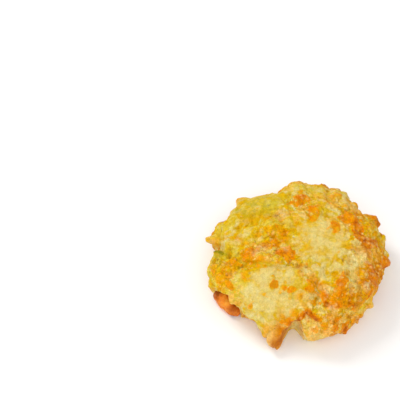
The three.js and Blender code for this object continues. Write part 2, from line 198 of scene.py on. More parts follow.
QUARTER = np.linspace(0, math.pi / 2, 61)
OUTS = np.concatenate([
    np.sin(QUARTER) ** (2 / SHOULDER_POWER),
    1 - FOOT_TUCK / PLAN_RADIUS * (1 - np.cos(QUARTER[1:])),
])
HEIGHTS = np.concatenate([
    mix(WIDEST_HEIGHT, CROWN_HEIGHT, np.maximum(np.cos(QUARTER), 0) ** (2 / SHOULDER_POWER)),
    WIDEST_HEIGHT * (1 - np.sin(QUARTER[1:])),
])
WAYS = np.concatenate([[0], np.cumsum(np.hypot(np.diff(OUTS) * PLAN_RADIUS, np.diff(HEIGHTS)))])
MAP_RADIUS = WAYS[-1]


def on_map(turn, reach):
    """A place's X and Y on the map, from its turn in degrees and its reach in mm."""
    angle = math.radians(turn)
    return reach * math.cos(angle), reach * math.sin(angle)


def outline_radius(angle):
    """The widest outline: a closed Catmull-Rom curve through its radii."""
    n = len(OUTLINE_RADII)
    at = (angle / (2 * math.pi) * n) % n
    i = np.floor(at).astype(int)
    t = at - i
    a, b, c, d = (OUTLINE_RADII[(i + step) % n] for step in (-1, 0, 1, 2))
    return b + 0.5 * t * (c - a + t * (2 * a - 5 * b + 4 * c - d + t * (3 * (b - c) + d - a)))


def mound(x, y):
    """The plain mound: the meridian's share of the outline's radius, at the meridian's height."""
    way = np.hypot(x, y)
    angle = np.arctan2(y, x)
    radius = np.interp(way, WAYS, OUTS) * outline_radius(angle)
    return np.stack([radius * np.cos(angle), radius * np.sin(angle), np.interp(way, WAYS, HEIGHTS)], -1)


def unit(v):
    """Each vector divided by its own length."""
    return v / np.maximum(np.linalg.norm(v, axis=-1, keepdims=True), 1e-12)


def mound_frame(x, y):
    """The mound's two tangents along the map's axes, by differences, and their cross product."""
    step = 0.4
    inside = np.minimum(1, (MAP_RADIUS - 1.5 * step) / np.maximum(np.hypot(x, y), 1e-6))
    cx, cy = x * inside, y * inside
    across = unit(mound(cx + step, cy) - mound(cx - step, cy))
    along = unit(mound(cx, cy + step) - mound(cx, cy - step))
    return across, along, unit(np.cross(across, along))


def bump(x, y, turn, reach, half_round, up, power=1.0):
    """1 at a place of the map, falling to 0 at its half widths round and up the side."""
    angle = math.radians(turn)
    outward = x * math.cos(angle) + y * math.sin(angle) - reach
    sideways = y * math.cos(angle) - x * math.sin(angle)
    return np.maximum(1 - (outward / up) ** 2 - (sideways / half_round) ** 2, 0.0) ** power


def path_distance(x, y, path):
    """Signed distance on the map to a path, positive on its left, the share of the way along it and
    the direction across it, from its nearest straight piece."""
    points = [on_map(*p) for p in path]
    nearest = np.full(x.shape, np.inf)
    signed = np.zeros(x.shape)
    along = np.zeros(x.shape)
    across = np.zeros(x.shape + (2,))
    for i, ((ax, ay), (bx, by)) in enumerate(zip(points, points[1:])):
        dx, dy = bx - ax, by - ay
        length = math.hypot(dx, dy)
        share = np.clip(((x - ax) * dx + (y - ay) * dy) / length**2, 0, 1)
        ox, oy = x - ax - share * dx, y - ay - share * dy
        distance = np.hypot(ox, oy)
        closer = distance < nearest
        nearest = np.where(closer, distance, nearest)
        signed = np.where(closer, distance * np.where(dx * oy - dy * ox >= 0, 1, -1), signed)
        along = np.where(closer, (i + share) / (len(points) - 1), along)
        across[closer] = (-dy / length, dx / length)
    return signed, along, across


def strongest(x, y, areas, edge):
    """The strongest of round areas at each place: each one's strength, where it has one, times a smooth
    step of its bump, which the edge makes steeper."""
    result = np.zeros(x.shape)
    for turn, reach, radius, *strength in areas:
        share = ease(edge * bump(x, y, turn, reach, radius, radius))
        result = np.maximum(result, strength[0] * share if strength else share)
    return result


def smoothness(x, y):
    """1 in the smooth stretches of dough, 0 where it is craggy."""
    return strongest(x, y, SMOOTH_AREAS, AREA_EDGE)


def keep_above(point, way, least):
    """Raises the points inside the map's rim to the least height where they are lower."""
    inside = way < MAP_RADIUS - 1e-6
    point[..., 2] = np.where(inside, np.maximum(point[..., 2], least), point[..., 2])


def main_form(x, y):
    """The crust's main form, as in the CAD solid: mound, lobes, folds, curds and crags, each moving
    the point that the last one left. Also gives each fold's distance in widths, with its strength."""
    way = np.hypot(x, y)
    still = ease((MAP_RADIUS - way) / FOOT_BAND)
    across, along, normal = mound_frame(x, y)
    place = mound(x, y)
    point = place.copy()
    wander = [WANDER["reach"] * noise(place, WANDER["size"], seed) for seed in WANDER["seeds"]]
    for turn, reach, radius, rise in LOBES:
        point += normal * (rise * bump(x, y, turn, reach, radius, radius) * still)[..., None]
    folds = []
    for path, width, depth, lip, lean in FOLDS:
        signed, share, direction = path_distance(x + wander[0], y + wander[1], path)
        s = signed / width
        taper = ease(FOLD_TAPER[0] + FOLD_TAPER[1] * share) * ease(FOLD_TAPER[1] * (1 - share))
        taper = taper * still
        rise = lip * np.exp(-((s - LIP[0]) ** 2) / LIP[1]) - depth * np.exp(-(s**2))
        overhang = -lean * np.exp(-((s - LEAN[0]) ** 2) / LEAN[1]) * taper
        direction = overhang[..., None] * direction
        point += normal * (rise * taper)[..., None]
        point += across * direction[..., :1] + along * direction[..., 1:]
        folds.append((s, taper))
    rough = mix(1.0, SMOOTH_CURDS, smoothness(x, y))
    for size, rise, seed in CURDS:
        warp = drift(place, size, seed + CURD_WARP_SEED)
        lump = curds(place + warp * CURD_WARP * size, size, seed) - CURD_MIDDLE
        point += normal * (rise * rough * lump * still)[..., None]
    strayed = x + WANDER["crag_share"] * wander[0], y + WANDER["crag_share"] * wander[1]
    for turn, reach, out, half_round, up, *own in CRAGS:
        lift, power = own or USUAL_CRAG
        angle = math.radians(turn)
        push = out * bump(*strayed, turn, reach, half_round, up, power)
        point[..., 0] += push * math.cos(angle)
        point[..., 1] += push * math.sin(angle)
        point[..., 2] += push * lift * still
    keep_above(point, way, LEAST_HEIGHT * still)
    return point, folds, still, place


def square_to_map(a, b):
    """A square grid drawn onto the round map: concentric squares become concentric circles."""
    wide = np.abs(a) > np.abs(b)
    reach = np.where(wide, a, b)
    with np.errstate(divide="ignore", invalid="ignore"):
        angle = np.where(wide, math.pi / 4 * b / a, math.pi / 2 - math.pi / 4 * a / b)
    angle = np.nan_to_num(angle)
    return reach * np.cos(angle) * MAP_RADIUS, reach * np.sin(angle) * MAP_RADIUS


# ---- what the photograph shows on the crust ----
# Places are turn in degrees and reach in mm on the map. Where a place has half sizes, the first is
# across, the second in depth, and a third number is its tilt in degrees.

# Melted cheddar: turn, reach, half sizes, how orange.
CHEDDAR = [
    # crown and back
    (93, 16.2, 5.6, 2.5, 4, 0.7), (62, 8.7, 2.8, 4.6, 0.6), (54, 27.5, 2.1, 1.2, 0.55),
    (38, 25, 1.5, 1.1, 0.35), (147, 20.5, 4.2, 1.6, 0.12), (137, 22.5, 3.8, 1.2, 0.1),
    (147, 32.5, 1.1, 1.8, 0.35), (178, 12.5, 4.6, 3.2, 0.35), (184, 19, 0.9, 1.3, 0.6),
    (199, 13, 1.8, 1.3, 0.6), (273, 7.5, 1.2, 2.2, 0.1),
    # right
    (3, 13, 2.3, 3.2, 0.7), (16, 21.8, 3.6, 3.7, 0.85), (3, 22.5, 2.6, 3.4, 0.9),
    (354, 24, 3.4, 2.6, -30, 1), (354, 30.2, 3.6, 3.4, 1), (23, 36.5, 1, 1.1, 0.7), (347, 40, 2.8, 3, 1),
    (328, 36, 3.8, 5.2, 30, 1), (318, 31, 1.3, 2, 0.4), (315, 39, 1.1, 2, 0.7), (310, 38, 1.5, 1.5, 0.5),
    # front right
    (300, 27, 2.9, 1.6, 35, 0.8), (295, 30, 3, 3, 0.75), (290, 33.5, 4, 2.2, 0.85),
    (282, 31.5, 1.6, 3, 0.75), (284, 34.5, 1.4, 1, 1), (272, 27.5, 2.2, 1.6, 0.8),
    (276, 23.5, 2, 1.1, 0.45), (273, 33, 1.3, 1.1, 0.6), (301, 37, 1.9, 1.9, 0.75),
    (287, 36.5, 4.6, 1.4, 0.35), (285, 17.5, 1.3, 1.6, 0.15), (262, 21.5, 1.8, 1, 0.3),
    # the small lobe in front
    (274, 43, 1.8, 1.8, 0.6), (280, 41, 2.1, 2.2, 0.6), (288, 40.5, 1.2, 1, 0.85),
    (287, 43.5, 1.8, 1.6, 0.8), (293, 46, 2, 1.8, 0.9), (300, 44.5, 2.4, 1.8, 20, 0.75),
    (270, 44.5, 1.1, 0.9, 0.5),
    # flap, its lip and the drip
    (257, 28.5, 2.2, 1.2, 0.65), (241, 28.5, 1.9, 1.6, 0.8), (250, 28, 1.5, 1.6, 0.45),
    (238, 33.5, 1.5, 1.2, 0.3), (233, 39.5, 1.1, 1.2, 0.4), (261, 36.5, 1.8, 2.4, 25, 0.45),
    (253.5, 41.5, 2.4, 1.4, 0.45), (258.5, 41, 2.6, 1.8, 20, 0.75), (239, 42, 1.6, 1.4, 0.15),
    # left of the crown, along the groove and down the cheek
    (234, 13.2, 4.2, 3.6, 0.9), (202, 23.5, 3.4, 2.6, 0.7), (204, 30.5, 3.2, 1.3, -8, 0.5),
    (214, 23.5, 5.6, 0.9, 10, 0.35), (199, 38.5, 2, 2.8, 0.5), (207, 37.5, 2, 2.2, 0.5),
    (220, 30.5, 1.2, 4, 0.3), (214, 36.5, 2.2, 2.2, 0.6), (216, 30, 0.9, 4.6, 0.4),
    (220, 37, 1.3, 0.8, 0.35), (172, 43.5, 1.8, 1.6, 0.4),
]
# Where the crust is toasted darkest: turn, reach, radius, strength.
TOASTED = [
    (347, 43.5, 4, 1), (338, 45, 3.5, 0.8), (328, 44, 3.5, 0.5), (354, 29, 4, 0.4), (0, 23, 3.6, 0.35),
    (12, 19, 2.4, 0.3), (283, 33.5, 2.4, 0.5), (305, 38, 3, 0.5), (288, 46, 3, 0.4),
    (254.5, 48.5, 3.4, 0.6), (241, 28.5, 2.2, 0.4), (23, 36.8, 1.4, 0.4), (300, 27, 3, 0.4),
    (306, 40, 2.2, 0.5), (258.5, 42, 3, 0.5), (262, 40, 2.4, 0.4),
]
# Green by the pepper: turn, reach, half sizes and strength, and how far out it fades.
GREEN = [((146, 27, 9, 6, 0.7), 1.6), ((196, 36, 3.8, 3, 1), 1.7)]
SHREDS_PER_AREA = 0.16
SHRED_SPREAD = 0.55  # in half sizes of the patch
STRAY_SHREDS = 34
STRAY_REACH = 46
SHRED_LENGTHS = (2.2, 6.0)
SHRED_WIDTHS = (0.7, 1.15)
SHRED_POWER = 0.8
SHRED_SEED = 7
# Small deep pits: turn, reach, radius, depth.
PITS = [
    (283, 34.5, 1.3, 1.6), (315, 21.2, 0.9, 1), (35, 12.4, 0.9, 0.9), (198, 30.8, 1.4, 1.8),
    (193, 30.4, 0.8, 0.9), (197, 28.1, 0.8, 0.9), (158, 23.5, 0.9, 0.7), (168, 24.8, 0.9, 0.7),
]
# Painted shade in hollows between crumbs, darkening the colour there: turn, reach, half sizes, strength.
HOLLOW_SHADE = [
    (308, 35.5, 1.5, 3, 0.8), (306, 40, 1.2, 3.6, 0.9), (37, 13.3, 1.2, 1.6, -30, 0.7),
    (320, 23.5, 1.3, 1, 0.8), (159, 23, 1.6, 1.8, 0.6), (165, 26, 2.4, 1.8, 0.5), (175, 5, 1.6, 2, 0.5),
    (285, 17.5, 1.6, 1.4, 0.5), (254, 25, 0.6, 0.8, 0.7), (20, 14, 1.6, 1, 0.5), (238, 29, 2.6, 0.8, 0.4),
    (241, 28.5, 1.6, 1.4, 1),
]
# Pale floury spots, and at (264, 48.5) painted light that lifts the notch's shaded wall: turn, reach, half
# sizes, strength.
FLOURY_AND_PAINTED_LIGHT = [
    (152, 30.5, 3, 2, 0.3), (130, 27.5, 4, 1.4, 0.3), (150, 23.5, 2, 1.6, 0.3), (323, 25, 2.2, 2.6, 0.9),
    (333, 28.5, 3.2, 3.6, 0.55), (316, 25, 3.6, 3, 0.5), (231, 6, 2.2, 2.6, 0.5), (187, 29, 2.4, 2.4, 0.5),
    (249.5, 49, 2, 3, 0.5), (264, 48.5, 5, 5, 0.7), (272, 42, 3.6, 3.6, 0.2), (268, 20, 4.5, 4, 0.35),
    (287, 28.5, 3, 1.6, 0.6), (316, 35.5, 2.2, 2, 0.7), (141, 13, 3, 2.8, 0.6), (255, 34.5, 2.4, 3, 0.5),
    (305, 31, 2, 2, 0.5), (286, 36.3, 2.4, 1.4, 0.5), (317, 45, 2.6, 2.6, 0.5), (112, 29, 4, 1.6, 0.4),
    (33, 15.5, 2.6, 1.4, -20, 0.8), (350, 8.5, 3, 3, 0.4), (204, 19.5, 3, 2.4, 0.5),
    (222, 11, 1.6, 2.4, 0.4), (214, 33, 2.6, 2.4, 0.4), (335, 27.5, 2.6, 3, 0.5),
]
# How far the dough is baked in broad stretches: turn, reach, radius, tone from 0 pale to 1 brown.
BAKED = [
    (331, 13, 15, 0.32), (240, 32, 18, 0.18), (346, 34, 10, 0.6), (333, 27, 7, 0.3), (300, 38, 16, 0.5),
    (330, 42, 12, 0.68), (90, 22, 12, 0.26), (200, 30, 12, 0.38), (251, 48, 8, 0.57), (174, 14, 9, 0.4),
    (20, 36, 10, 0.5), (280, 44, 9, 0.42), (259, 34, 7, 0.5), (268, 31, 6, 0.46), (262, 21, 6, 0.42),
    (284, 25, 6, 0.42), (317, 28, 6, 0.46), (254, 41, 6, 0.54), (173, 42, 6, 0.5), (180, 36, 5, 0.34),
    (136, 21, 8, 0.28), (253.5, 48, 4.5, 0.9), (255, 20, 9, 0.33), (174, 34, 9, 0.22), (318, 26, 8, 0.34),
]
PLAIN_BAKE = 0.36
# How deep a yellow the dough has in broad stretches: turn, reach, radius, depth from 0 cream to 1.
YELLOW = [
    (331, 13, 16, 0.24), (240, 32, 15, 0.18), (175, 41, 4, 0.55), (164, 38, 8, 1), (180, 36, 5, 0.2),
    (187, 29, 4, 0.3), (246, 42, 6, 0.45), (136, 21, 8, 0.75), (259, 35, 6, 0.3), (268, 31, 7, 0.3),
    (317, 28, 6, 0.25), (205, 37, 14, 1), (140, 24, 16, 0.62), (178, 14, 12, 0.9), (262, 42, 9, 0.2),
    (250, 46, 8, 0.1), (209, 21, 8, 1), (350, 32, 10, 0.5), (346, 20, 8, 0.2), (20, 39, 5, 0.3),
    (243, 47, 4, 0.9), (298, 36, 13, 0.7), (90, 25, 12, 0.8), (356, 24, 8, 1), (345, 41, 6, 1),
    (80, 12, 6, 0.7), (253.5, 49, 5, -0.3), (255, 22, 7, 0.45), (264, 25, 5, 0.15), (284, 25, 6, 0.35),
    (325, 26, 10, 0.1), (313, 27, 7, 0.05), (200, 27, 10, 1), (325, 42, 10, 0.8),
]
PLAIN_YELLOW = 0.55
PLAIN_WEIGHT = 0.15
# Where the crust is a rosy gold: turn, reach, radius, strength.
ROSY = [
    (177, 40, 5, 0.45), (191, 22, 4, 0.5), (214, 18, 5, 0.5), (100, 10, 6, 0.6), (12, 16, 7, 0.5),
    (290, 42, 8, 0.6), (270, 45, 7, 1), (280, 45, 7, 0.9), (302, 43, 7, 0.5), (247, 46, 5, 0.5),
    (60, 22, 9, 0.5), (38, 30, 8, 0.5), (345, 30, 8, 0.5), (95, 28, 8, 0.5), (219, 40, 6, 0.9),
    (265, 33, 5, 0.5), (317, 45, 4, 0.8),
]
# How far out the browned rim starts: turn, reach.
RIM_START = [
    (0, 39), (45, 34), (90, 31.5), (135, 33.5), (158, 40), (172, 44), (190, 43), (225, 46), (270, 46.5),
    (315, 43.5), (335, 43), (360, 40),
]
# Places where the rim stays pale; at (262, 50) this is painted light on the notch's shaded wall: turn, reach,
# radius.
PALE_RIM = [(262, 50, 8), (175, 47, 7), (206, 45, 7), (274, 47, 7), (247, 45, 6)]
# Stretches with coarser, craggier crumb: turn, reach, radius.
CRAGGY_AREAS = [(342, 34, 15), (300, 39, 15), (20, 32, 12), (85, 16, 8), (215, 22, 10)]
# Stretches with a softer crumb: turn, reach, radius, how much softer.
SOFT_CRUMB = [
    (334, 38, 12, 0.75), (358, 40, 8, 0.4), (280, 43, 8, 0.4), (174, 41, 7, 0.5), (152, 34, 10, 0.6),
    (110, 30, 9, 0.3),
]

# How far the patches' places are moved and their edges frayed, with each noise's size and seeds.
WARP = 1.2
WARP_SIZE = 4.5
WARP_SEEDS = (201, 202)
RAGGEDNESS = 0.55
RAGGED = (2.4, 203)
# Noises, waves and curds of the crust: size, seed.
STREAKS = (6, 221)
RIM_WAVES = (6, 251)
COARSE_CRUMB = (3.0, 41)
MIDDLE_CRUMB = (1.7, 47)
FINE_CRUMB = (1.0, 53)
MELT_LUMPS = (2.2, 67)
BASE_WAVES = (4.0, 71)
CRUMB_WARP = (3.0, 231)
# Specks: size of the lattice, seed, share of its cells, least and largest radius in cells.
FLECKS = (4.2, 211, 0.35, 0.12, 0.26)
HOLES = (3.4, 61, 0.35, 0.12, 0.26)
GRAINS = (1.8, 241, 0.75, 0.2, 0.5)
DIMPLES = (5, 77, 0.4, 0.15, 0.4)
# Passes of the blur: round the cheddar, over the creases, over broad swells.
NEAR_PASSES = 60
CREASE_PASSES = 14
BROAD_PASSES = 160

CRUMBS = 280
CRUMB_SEED = 11
CRUMB_SIZE = 0.35  # the least, in mm, and how much larger the largest is
CRUMB_SIZE_RANGE = 0.6
CRUMB_STRETCH = (0.8, 1.7)
CRUMB_FLATNESS = 0.6
CRUMB_SINK = 0.2
CRUMB_LEAST_HEIGHT = 3
CRUMB_RINGS = 6
CRUMB_SECTORS = 9
CRUST_STEPS = 284
BASE_RINGS = 13


def ellipse(x, y, turn, reach, half_x, half_y=None, tilt=0):
    """Distance from a place of the map, in half sizes of a circle or of a tilted ellipse there."""
    cx, cy = on_map(turn, reach)
    c, s = math.cos(math.radians(tilt)), math.sin(math.radians(tilt))
    dx, dy = x - cx, y - cy
    return np.hypot((dx * c + dy * s) / half_x, (dy * c - dx * s) / (half_y or half_x))


def patches(x, y, areas, edge, fade, ragged):
    """The strongest of ragged patches at each place: each one's strength times a smooth step, from 0 at
    its edge in half sizes to 1 as far inside it as it takes to fade."""
    result = np.zeros(x.shape)
    for turn, reach, *halves, strength in areas:
        away = ellipse(x, y, turn, reach, *halves) + ragged
        result = np.maximum(result, strength * ease((edge - away) / fade))
    return result


def stretches(x, y, areas, plain):
    """A field that takes each area's value round its place, and the plain one away from them all: the
    mean of the values, weighted by the areas' bumps and a small weight for the plain one."""
    weight = np.full(x.shape, PLAIN_WEIGHT)
    total = weight * plain
    for turn, reach, radius, value in areas:
        share = bump(x, y, turn, reach, radius, radius, 1.5)
        weight = weight + share
        total = total + share * value
    return total / weight


def blur(field, passes):
    """The field after so many passes of a quarter, a half and a quarter of neighbours each way."""
    for _ in range(passes):
        for axis in (0, 1):
            padded = np.concatenate([field.take([0], axis), field, field.take([-1], axis)], axis)
            n = field.shape[axis]
            before, here, after = (padded.take(range(k, k + n), axis) for k in range(3))
            field = 0.25 * before + 0.5 * here + 0.25 * after
    return field


def grid_normals(point):
    """The grid's unit normals: the cross product of its differences along its two directions."""
    return unit(np.cross(np.gradient(point, axis=1), np.gradient(point, axis=0)))


def shreds(x, y):
    """Melted shreds of cheddar: a low rounded ridge along each of many short segments of the map, most
    of them laid over the cheddar's patches, the others anywhere. A ridge is 1 less the square of the
    distance in widths, to a power. Gives the ridges' height from 0 to 1 and how orange each is."""
    rng = np.random.default_rng(SHRED_SEED)
    laid = []
    for turn, reach, half_x, half_y, *_, tone in CHEDDAR:
        cx, cy = on_map(turn, reach)
        for _ in range(max(1, round(half_x * half_y * SHREDS_PER_AREA))):
            at = rng.normal(0, SHRED_SPREAD, 2)
            laid.append((cx + at[0] * half_x, cy + at[1] * half_y, tone * rng.uniform(0.7, 1)))
    for _ in range(STRAY_SHREDS):
        turn, reach = rng.uniform(0, 360), STRAY_REACH * math.sqrt(rng.uniform(0.02, 1))
        laid.append((*on_map(turn, reach), rng.uniform(0.05, 0.45)))
    height, tones = np.zeros(x.shape), np.zeros(x.shape)
    for cx, cy, tone in laid:
        length, width = rng.uniform(*SHRED_LENGTHS), rng.uniform(*SHRED_WIDTHS)
        heading = rng.uniform(0, math.pi)
        ax, ay = math.cos(heading), math.sin(heading)
        along = np.clip((x - cx) * ax + (y - cy) * ay, -length / 2, length / 2)
        distance = np.hypot(x - cx - along * ax, y - cy - along * ay)
        ridge = np.maximum(1 - (distance / width) ** 2, 0) ** SHRED_POWER
        tones = np.where(ridge > height, tone, tones)
        height = np.maximum(height, ridge)
    return height, tones


def crust_surface():
    """The crust: the main form on a square grid laid on the round map, moved along its own normals by
    crumb (two sizes of curds and noise), melted cheddar (low domes and ridges), grains, holes and
    pits. The colour fields come from the same numbers: toast on what stands out, painted shade in creases."""
    line = np.linspace(-1, 1, CRUST_STEPS + 1)
    x, y = square_to_map(*np.meshgrid(line, line))
    way = np.hypot(x, y)
    point, folds, still, place = main_form(x, y)
    normal = grid_normals(point)
    smooth = smoothness(x, y)
    craggy = strongest(x, y, CRAGGY_AREAS, AREA_EDGE)
    warp_x, warp_y = (WARP * layered(place, WARP_SIZE, seed) for seed in WARP_SEEDS)
    ragged = RAGGEDNESS * layered(place, *RAGGED)

    def warped(share):
        return x + share * warp_x, y + share * warp_y

    # melted cheddar: patches with ragged edges, flecks, a streak in the groove, a ledge and shreds
    cheddar, orange = np.zeros(x.shape), np.zeros(x.shape)
    at = warped(0.7)
    for turn, reach, *halves, tone in CHEDDAR:
        away = ellipse(*at, turn, reach, *halves) + ragged
        mask = ease((1.3 - away) / mix(1, 0.6, tone))
        ring = 4 * mask * (1 - mask)
        cheddar = np.maximum(cheddar, mask * mix(0.35, 1, ease(1.3 * tone)))
        orange = np.maximum(orange, mask * tone * (0.9 + 0.7 * ring))
    fleck = ease(2.2 * specks(place, *FLECKS)) * mix(1, 0.35, smooth)
    (s, strength), (s2, strength2) = folds
    streak = ease(1.4 - np.abs(s + 0.4)) * strength * ease(0.6 + noise(place, *STREAKS))
    ledge = ease(1.5 - np.abs(s2 - 1) + 0.5 * ragged) * strength2
    cheddar = np.maximum.reduce([cheddar, 0.8 * fleck, 0.6 * streak, 0.8 * ledge])
    orange = np.maximum.reduce([orange, 0.6 * fleck, 0.4 * streak, ledge])
    ridges, shred_tone = shreds(*warped(0.5))
    shred = ease(1.5 * ridges)
    cheddar = np.maximum(cheddar, shred * mix(0.15, 0.85, shred_tone))
    orange = np.maximum(orange, shred * shred_tone)

    # relief, in mm
    warp = drift(place, *CRUMB_WARP)
    coarse = curds(place + 0.7 * warp, *COARSE_CRUMB)
    middle = curds(place + 0.3 * warp, *MIDDLE_CRUMB)
    rough = mix(1, 0.45, smooth) * (1 - strongest(x, y, SOFT_CRUMB, AREA_EDGE))
    crumb = mix(0.65, 1.05, craggy) * (coarse - CURD_MIDDLE)
    crumb = crumb + mix(0.35, 0.48, craggy) * (middle - CURD_MIDDLE) + 0.16 * noise(place, *FINE_CRUMB)
    holes = ease(1.6 * specks(place, *HOLES))
    melt = 0.35 * cheddar * (0.6 + 0.4 * curds(place, *MELT_LUMPS))
    near = 2.2 * blur(cheddar, NEAR_PASSES) * (1.15 - cheddar) + 0.25 * craggy
    near = np.clip(near, 0, 1) * mix(1, 0.4, smooth)
    grains = ease(1.8 * specks(place + 0.5 * warp, *GRAINS)) * near
    lift = crumb * rough * mix(1, 0.5, cheddar) + melt + 0.45 * ridges + 0.3 * grains
    lift = lift - 0.45 * holes * mix(1, 0.6, smooth)
    for turn, reach, radius, depth in PITS:
        lift -= depth * ease(1.2 - ellipse(x, y, turn, reach, radius))
    point = point + normal * (lift * still)[..., None]
    keep_above(point, way, LEAST_CRUST)

    # colour fields, from 0 to 1
    height = ((point - place) * mound_frame(x, y)[2]).sum(-1)
    standing = height - blur(height, CREASE_PASSES)
    broad = height - blur(height, BROAD_PASSES)
    bake = stretches(*warped(1.5), BAKED, PLAIN_BAKE)
    yellow = stretches(*warped(1.5), YELLOW, PLAIN_YELLOW)
    back = ease((y - 8) / 16) * ease((way - 33) / 7)
    yellow = yellow * (1 - np.maximum(0.6 * ease((way - 43) / 7), 0.65 * back))
    grain = np.clip(0.5 + 0.9 * (0.6 * (coarse - 0.5) + 0.6 * (middle - 0.5)), 0, 1)
    start = np.interp(np.degrees(np.arctan2(y, x)) % 360, *zip(*RIM_START))
    rim = ease((way - start + 2 * layered(place, *RIM_WAVES)) / 5)
    for area in PALE_RIM:
        rim = rim * (1 - strongest(x, y, [area], WIDE_EDGE))
    toast = ease(0.35 + 0.6 * standing + 0.25 * broad) * mix(0, 0.6, craggy) + 0.8 * rim
    toast = np.maximum(toast, patches(*warped(1), TOASTED, 1.3, 1, ragged))
    toast = np.clip(toast + 0.45 * ledge, 0, 1)
    green = np.maximum.reduce([patches(*warped(1), [area], edge, 1, 0) for area, edge in GREEN])
    green = green * (1 - 0.8 * cheddar) * (1 - 0.7 * back)
    # low: painted shade, a darker colour where the crust lies below its blurred self
    low = ease(-1.3 * standing - 0.15) * mix(1, 0.6, smooth) * (1 - 0.8 * ledge)
    # the listed hollows add painted shade to the crease field
    low = np.maximum(low, patches(*at, HOLLOW_SHADE, 1.4, 0.9, ragged))
    return point, {
        "rosy": strongest(*warped(2), ROSY, WIDE_EDGE), "low": low, "cream": grains, "near": near,
        "floury_and_painted_light": patches(*warped(1), FLOURY_AND_PAINTED_LIGHT, 1.4, 1.1, ragged), "bake": bake, "yellow": yellow,
        "cheddar": cheddar, "orange": orange, "grain": grain, "toast": toast, "green": green,
        "smooth": smooth,
    }


def tube(rings):
    """Quads between each ring of vertex numbers and the next."""
    following = np.roll(rings, -1, 1)
    return np.stack([rings[:-1], rings[1:], following[1:], following[:-1]], -1).reshape(-1, 4)


def fan(ring, tip):
    """Triangles from a ring of vertex numbers to the vertex at its tip."""
    return np.stack([ring, np.full(ring.shape, tip), np.roll(ring, -1)], -1)


def crust_mesh(point, fields):
    """The crust's grid, closed underneath by rings that shrink from its rim to the middle. The
    underside stays on the resting plane, with dimples that go up into the dough."""
    side = CRUST_STEPS + 1
    index = np.arange(side**2).reshape(side, side)
    quads = np.stack([index[:-1, :-1], index[:-1, 1:], index[1:, 1:], index[1:, :-1]], -1).reshape(-1, 4)
    rim = np.concatenate([index[0, :-1], index[:-1, -1], index[-1, :0:-1], index[:0:-1, 0]])
    shares = (1 - np.arange(1, BASE_RINGS) / BASE_RINGS)[:, None, None]
    rings = point.reshape(-1, 3)[rim][None] * shares * np.array([1, 1, 0])
    inset = ease((1 - shares[..., 0]) * 8)
    dimples = 0.25 * ease(specks(rings, *DIMPLES))
    rings[..., 2] = np.maximum(inset * (0.25 + 0.22 * layered(rings, *BASE_WAVES) + dimples), 0)
    base = side**2 + np.arange((BASE_RINGS - 1) * len(rim)).reshape(BASE_RINGS - 1, len(rim))
    loops = np.concatenate([rim[None], base])
    vertices = np.concatenate([point.reshape(-1, 3), rings.reshape(-1, 3), [[0, 0, 0.2]]])
    columns = {}
    for name, field in fields.items():
        below = np.broadcast_to(field.reshape(-1)[rim], base.shape).reshape(-1)
        columns[name] = np.concatenate([field.reshape(-1), below, [0]])
    columns["under"] = np.concatenate([np.zeros(side**2), np.repeat(inset.reshape(-1), len(rim)), [1]])
    return vertices, [quads, tube(loops), fan(loops[-1], len(vertices) - 1)], columns


def crumbs_mesh(point, fields):
    """Loose crumbs baked onto the crust: small lumpy spheres, flattened, at random places of the
    crust's grid, most of them where it is craggy, each sunk a little into it."""
    rng = np.random.default_rng(CRUMB_SEED)
    normal = grid_normals(point).reshape(-1, 3)
    place = point.reshape(-1, 3)
    weight = (0.05 + fields["near"] * (1 - 0.7 * fields["toast"])).reshape(-1)
    weight = weight * (place[:, 2] > CRUMB_LEAST_HEIGHT) * (1 - 0.8 * fields["smooth"].reshape(-1))
    chosen = rng.choice(len(place), CRUMBS, replace=False, p=weight / weight.sum())
    centre, up = place[chosen], normal[chosen]
    across = unit(np.cross(up, unit(rng.normal(size=up.shape))))
    along = np.cross(up, across)
    size = CRUMB_SIZE + CRUMB_SIZE_RANGE * rng.random(CRUMBS) ** 2
    stretch = rng.uniform(*CRUMB_STRETCH, CRUMBS)
    polar = np.linspace(0, math.pi, CRUMB_RINGS + 1)[1:-1, None]
    turn = np.arange(CRUMB_SECTORS) / CRUMB_SECTORS * 2 * math.pi
    ring = [np.sin(polar) * np.cos(turn), np.sin(polar) * np.sin(turn), np.cos(polar)]
    ring = np.stack(np.broadcast_arrays(*ring), -1).reshape(-1, 3)
    ball = np.concatenate([[[0, 0, 1]], ring, [[0, 0, -1]]])
    shape = ball[None] * np.stack([size * stretch, size, CRUMB_FLATNESS * size], -1)[:, None]
    at = ball[None] * 0.9 + rng.uniform(-50, 50, (CRUMBS, 1, 3))
    shape = shape * (1 + 0.45 * noise(at, 1, 401) + 0.2 * noise(at, 0.5, 409))[..., None]
    vertices = (centre[:, None] + shape[..., :1] * across[:, None] + shape[..., 1:2] * along[:, None]
                + (shape[..., 2:] - CRUMB_SINK * size[:, None, None]) * up[:, None])
    vertices[..., 2] = np.maximum(vertices[..., 2], 0)
    count = len(ball)
    index = 1 + np.arange(len(ring)).reshape(len(polar), CRUMB_SECTORS)
    tips = np.concatenate([fan(index[0], 0)[:, ::-1], fan(index[-1], count - 1)])
    starts = (np.arange(CRUMBS) * count)[:, None, None]
    faces = [(tube(index)[None] + starts).reshape(-1, 4), (tips[None] + starts).reshape(-1, 3)]
    below = {key: field.reshape(-1)[chosen] for key, field in fields.items()}
    own = {
        "bake": np.clip(below["bake"] + rng.normal(-0.05, 0.08, CRUMBS), 0, 1),
        "yellow": below["yellow"],
        "cheddar": below["cheddar"] * rng.uniform(0.3, 1, CRUMBS),
        "orange": below["orange"] * rng.uniform(0.3, 1, CRUMBS),
        "toast": below["toast"] * rng.uniform(0.7, 1.1, CRUMBS),
        "green": below["green"],
        "rosy": below["rosy"],
        "grain": np.full(CRUMBS, 0.65),
        "cream": 0.45 * (rng.random(CRUMBS) > 0.6) * (1 - below["toast"]),
        "near": np.full(CRUMBS, 0.3),
    }
    return vertices.reshape(-1, 3), faces, {key: np.repeat(value, count) for key, value in own.items()}


